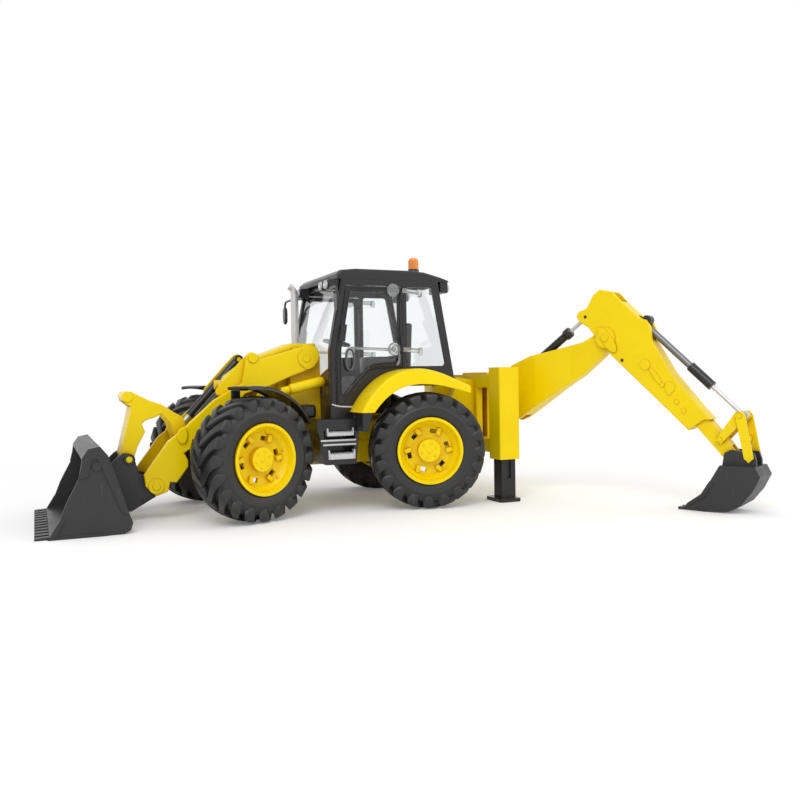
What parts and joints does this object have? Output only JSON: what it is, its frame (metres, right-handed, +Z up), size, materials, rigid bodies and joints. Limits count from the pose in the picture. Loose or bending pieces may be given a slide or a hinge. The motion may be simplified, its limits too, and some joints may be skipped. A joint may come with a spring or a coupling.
{
  "type": "toy backhoe loader",
  "caption": "Toy backhoe loader with equal steered wheels, front loader bucket, cab with doors, stabiliser legs and side-shift backhoe with extending dipper.",
  "frame": {"origin": "on the ground, at the centre of the part's bounding box in the parked pose with the wheels steered and the backhoe swung to the left", "axes": "+X to the rear, -Y to the machine's left, +Z up"},
  "size_m": [0.5355, 0.335, 0.2174],
  "materials": {
    "yellow_plastic": "satin moulded yellow plastic",
    "black_plastic": "satin black plastic",
    "silver_plastic": "silver plastic",
    "clear_plastic": "clear plastic",
    "tyre_plastic": "soft black plastic tyre"
  },
  "bodies": {
    "base": {"chassis_frame": "yellow_plastic", "front_axle_beam": "black_plastic", "rear_axle_beam": "black_plastic", "hood": "yellow_plastic", "exhaust_stack": "silver_plastic", "cab_frame": "black_plastic", "cab_glass": "clear_plastic", "cab_roof": "black_plastic", "cab_floor": "black_plastic", "beacon": "black_plastic", "work_lamps": "black_plastic", "seat": "black_plastic", "steering_wheel": "black_plastic", "rear_fenders": "yellow_plastic", "step_units": "black_plastic", "wing_mirrors": "black_plastic", "stabiliser_frame": "yellow_plastic"},
    "front_left_steer": {"front_left_knuckle": "black_plastic", "front_left_mudguard": "black_plastic"},
    "front_left_wheel": {"front_left_tyre": "tyre_plastic", "front_left_rim": "yellow_plastic"},
    "front_right_steer": {"front_right_knuckle": "black_plastic", "front_right_mudguard": "black_plastic"},
    "front_right_wheel": {"front_right_tyre": "tyre_plastic", "front_right_rim": "yellow_plastic"},
    "front_tie_rod": {"front_tie_rod": "black_plastic"},
    "rear_left_steer": {"rear_left_knuckle": "black_plastic"},
    "rear_left_wheel": {"rear_left_tyre": "tyre_plastic", "rear_left_rim": "yellow_plastic"},
    "rear_right_steer": {"rear_right_knuckle": "black_plastic"},
    "rear_right_wheel": {"rear_right_tyre": "tyre_plastic", "rear_right_rim": "yellow_plastic"},
    "rear_tie_rod": {"rear_tie_rod": "black_plastic"},
    "left_door": {"door_left": "black_plastic", "door_left_glass": "clear_plastic"},
    "left_stabiliser": {"stabiliser_leg_left": "black_plastic"},
    "right_door": {"door_right": "black_plastic", "door_right_glass": "clear_plastic"},
    "right_stabiliser": {"stabiliser_leg_right": "black_plastic"},
    "loader_arms": {"loader_arms": "yellow_plastic"},
    "loader_bucket": {"hitch_frame": "yellow_plastic", "loader_bucket": "black_plastic"},
    "lift_ram_barrels": {"lift_ram_barrels": "black_plastic"},
    "lift_ram_rods": {"lift_ram_rods": "silver_plastic"},
    "tilt_ram_barrels": {"tilt_ram_barrels": "black_plastic"},
    "tilt_ram_rods": {"tilt_ram_rods": "silver_plastic"},
    "swing_post": {"swing_post": "yellow_plastic"},
    "boom": {"boom": "yellow_plastic"},
    "dipper": {"dipper": "yellow_plastic"},
    "telescopic_arm": {"telescopic_arm": "yellow_plastic"},
    "backhoe_bucket": {"backhoe_bucket": "black_plastic"},
    "bucket_lever": {"bucket_lever": "yellow_plastic"},
    "bucket_link": {"bucket_link": "yellow_plastic"},
    "dipper_ram_barrel": {"dipper_ram_barrel": "black_plastic"},
    "dipper_ram_rod": {"dipper_ram_rod": "silver_plastic"},
    "bucket_ram_barrel": {"bucket_ram_barrel": "silver_plastic"},
    "bucket_ram_sleeve": {"bucket_ram_sleeve": "black_plastic"},
    "bucket_ram_rod": {"bucket_ram_rod": "silver_plastic"},
    "carriage": {"side_shift_carriage": "yellow_plastic"}
  },
  "joints": [
    {"name": "front_left_steering", "type": "hinge", "parent": "base", "child": "front_left_steer", "pos_m": [-0.1163, 0.0187, 0.049], "axis": [0, 0, 1], "range_deg": [-43.4, 0.6]},
    {"name": "front_left_wheel_spin", "type": "hinge", "parent": "front_left_steer", "child": "front_left_wheel", "pos_m": [-0.11046, 0.0038, 0.049], "axis": [-0.3649, 0.9311, 0], "continuous": true},
    {"name": "front_right_steering", "type": "hinge", "parent": "base", "child": "front_right_steer", "pos_m": [-0.1163, 0.1187, 0.049], "axis": [0, 0, 1], "range_deg": [-43.4, 0.6]},
    {"name": "front_right_wheel_spin", "type": "hinge", "parent": "front_right_steer", "child": "front_right_wheel", "pos_m": [-0.12214, 0.1336, 0.049], "axis": [-0.3649, 0.9311, 0], "continuous": true},
    {"name": "front_tie_rod_pivot", "type": "hinge", "parent": "front_left_steer", "child": "front_tie_rod", "pos_m": [-0.10513, 0.02308, 0.0342], "axis": [0, 0, 1], "range_deg": [-0.61, 43.41]},
    {"name": "rear_left_steering", "type": "hinge", "parent": "base", "child": "rear_left_steer", "pos_m": [0.0427, 0.0187, 0.049], "axis": [0, 0, 1], "range_deg": [-9.2, 34.8]},
    {"name": "rear_left_wheel_spin", "type": "hinge", "parent": "rear_left_steer", "child": "rear_left_wheel", "pos_m": [0.03916, 0.0031, 0.049], "axis": [0.2215, 0.9751, 0], "continuous": true},
    {"name": "rear_right_steering", "type": "hinge", "parent": "base", "child": "rear_right_steer", "pos_m": [0.0427, 0.1187, 0.049], "axis": [0, 0, 1], "range_deg": [-9.2, 34.8]},
    {"name": "rear_right_wheel_spin", "type": "hinge", "parent": "rear_right_steer", "child": "rear_right_wheel", "pos_m": [0.04625, 0.1343, 0.049], "axis": [0.2215, 0.9751, 0], "continuous": true},
    {"name": "rear_tie_rod_pivot", "type": "hinge", "parent": "rear_left_steer", "child": "rear_tie_rod", "pos_m": [0.0544, 0.01604, 0.0342], "axis": [0, 0, 1], "range_deg": [-34.81, 9.21]},
    {"name": "left_door_hinge", "type": "hinge", "parent": "base", "child": "left_door", "pos_m": [0.0235, 0.0148, 0.14], "axis": [0, 0, 1], "range_deg": [0, 80]},
    {"name": "right_door_hinge", "type": "hinge", "parent": "base", "child": "right_door", "pos_m": [0.0235, 0.1226, 0.14], "axis": [0, 0, 1], "range_deg": [-80, 0]},
    {"name": "loader_lift", "type": "hinge", "parent": "base", "child": "loader_arms", "pos_m": [-0.0549, 0.0687, 0.1276], "axis": [0, 1, 0], "range_deg": [0, 60]},
    {"name": "bucket_tilt", "type": "hinge", "parent": "loader_arms", "child": "loader_bucket", "pos_m": [-0.1793, 0.0687, 0.028], "axis": [0, 1, 0], "range_deg": [-75, 30]},
    {"name": "lift_ram_pivot", "type": "hinge", "parent": "base", "child": "lift_ram_barrels", "pos_m": [-0.0453, 0.0687, 0.108], "axis": [0, 1, 0], "range_deg": [0, 48.12]},
    {"name": "lift_ram_slide", "type": "slide", "parent": "lift_ram_barrels", "child": "lift_ram_rods", "axis": [-0.9726, 0, -0.2326], "range_m": [0, 0.01912]},
    {"name": "tilt_ram_pivot", "type": "hinge", "parent": "loader_arms", "child": "tilt_ram_barrels", "pos_m": [-0.1005, 0.0687, 0.1283], "axis": [0, 1, 0], "range_deg": [-8.85, 22.11]},
    {"name": "tilt_ram_slide", "type": "slide", "parent": "tilt_ram_barrels", "child": "tilt_ram_rods", "axis": [-0.6714, 0, -0.7411], "range_m": [-0.01497, 0.03742]},
    {"name": "left_stabiliser_slide", "type": "slide", "parent": "base", "child": "left_stabiliser", "axis": [0, 0, 1], "range_m": [0, 0.034]},
    {"name": "right_stabiliser_slide", "type": "slide", "parent": "base", "child": "right_stabiliser", "axis": [0, 0, 1], "range_m": [0, 0.034]},
    {"name": "backhoe_side_shift", "type": "slide", "parent": "base", "child": "carriage", "axis": [0, 1, 0], "range_m": [-0.028, 0.028]},
    {"name": "backhoe_swing", "type": "hinge", "parent": "carriage", "child": "swing_post", "pos_m": [0.1377, 0.0687, 0.077], "axis": [0, 0, 1], "range_deg": [-21.8, 148.2]},
    {"name": "boom_lift", "type": "hinge", "parent": "swing_post", "child": "boom", "pos_m": [0.15213, 0.04014, 0.084], "axis": [-0.8926, -0.4509, 0], "range_deg": [-30, 40]},
    {"name": "dipper_swing", "type": "hinge", "parent": "boom", "child": "dipper", "pos_m": [0.19514, -0.04501, 0.142], "axis": [-0.8926, -0.4509, 0], "range_deg": [-50, 38]},
    {"name": "dipper_extension", "type": "slide", "parent": "dipper", "child": "telescopic_arm", "axis": [0.3009, -0.5957, -0.7447], "range_m": [0, 0.034]},
    {"name": "hoe_bucket_curl", "type": "hinge", "parent": "telescopic_arm", "child": "backhoe_bucket", "pos_m": [0.24275, -0.13927, 0.044], "axis": [-0.8926, -0.4509, 0], "range_deg": [-45, 45]},
    {"name": "dipper_ram_pivot", "type": "hinge", "parent": "boom", "child": "dipper_ram_barrel", "pos_m": [0.15574, 0.033, 0.112], "axis": [-0.8926, -0.4509, 0], "range_deg": [-0.61, 0.81]},
    {"name": "dipper_ram_slide", "type": "slide", "parent": "dipper_ram_barrel", "child": "dipper_ram_rod", "axis": [0.3613, -0.7153, 0.5981], "range_m": [-0.01784, 0.02348]},
    {"name": "bucket_lever_pivot", "type": "hinge", "parent": "telescopic_arm", "child": "bucket_lever", "pos_m": [0.23881, -0.13147, 0.05765], "axis": [-0.8926, -0.4509, 0], "range_deg": [-31.61, 31.61]},
    {"name": "bucket_link_pivot", "type": "hinge", "parent": "bucket_lever", "child": "bucket_link", "pos_m": [0.24614, -0.14597, 0.0765], "axis": [-0.8926, -0.4509, 0], "range_deg": [-12.53, 12.53]},
    {"name": "bucket_ram_pivot", "type": "hinge", "parent": "dipper", "child": "bucket_ram_barrel", "pos_m": [0.20939, -0.07322, 0.153], "axis": [-0.8926, -0.4509, 0], "range_deg": [-0.432, 0.432]},
    {"name": "bucket_ram_sleeve_slide", "type": "slide", "parent": "bucket_ram_barrel", "child": "bucket_ram_sleeve", "axis": [0.3287, -0.6508, -0.6844], "range_m": [0, 0.034]},
    {"name": "bucket_ram_rod_slide", "type": "slide", "parent": "bucket_ram_sleeve", "child": "bucket_ram_rod", "axis": [0.3287, -0.6508, -0.6844], "range_m": [-0.01327, 0.01327]}
  ],
  "couplings": [
    {"joint": "front_right_steering", "follows": "front_left_steering", "ratio": 1},
    {"joint": "front_tie_rod_pivot", "follows": "front_left_steering", "ratio": -1},
    {"joint": "rear_right_steering", "follows": "rear_left_steering", "ratio": 1},
    {"joint": "rear_tie_rod_pivot", "follows": "rear_left_steering", "ratio": -1},
    {"joint": "lift_ram_pivot", "follows": "loader_lift", "ratio": 0.80193},
    {"joint": "lift_ram_slide", "follows": "loader_lift", "m_per_rad": 0.01826},
    {"joint": "tilt_ram_pivot", "follows": "bucket_tilt", "ratio": -0.29483},
    {"joint": "tilt_ram_slide", "follows": "bucket_tilt", "m_per_rad": -0.02859},
    {"joint": "dipper_ram_pivot", "follows": "dipper_swing", "ratio": -0.01617},
    {"joint": "dipper_ram_slide", "follows": "dipper_swing", "m_per_rad": -0.0269},
    {"joint": "bucket_lever_pivot", "follows": "hoe_bucket_curl", "ratio": 0.70236},
    {"joint": "bucket_link_pivot", "follows": "hoe_bucket_curl", "ratio": -0.27846},
    {"joint": "bucket_ram_pivot", "follows": "hoe_bucket_curl", "ratio": -0.00961},
    {"joint": "bucket_ram_sleeve_slide", "follows": "dipper_extension", "ratio": 1},
    {"joint": "bucket_ram_rod_slide", "follows": "hoe_bucket_curl", "m_per_rad": -0.0169}
  ]
}
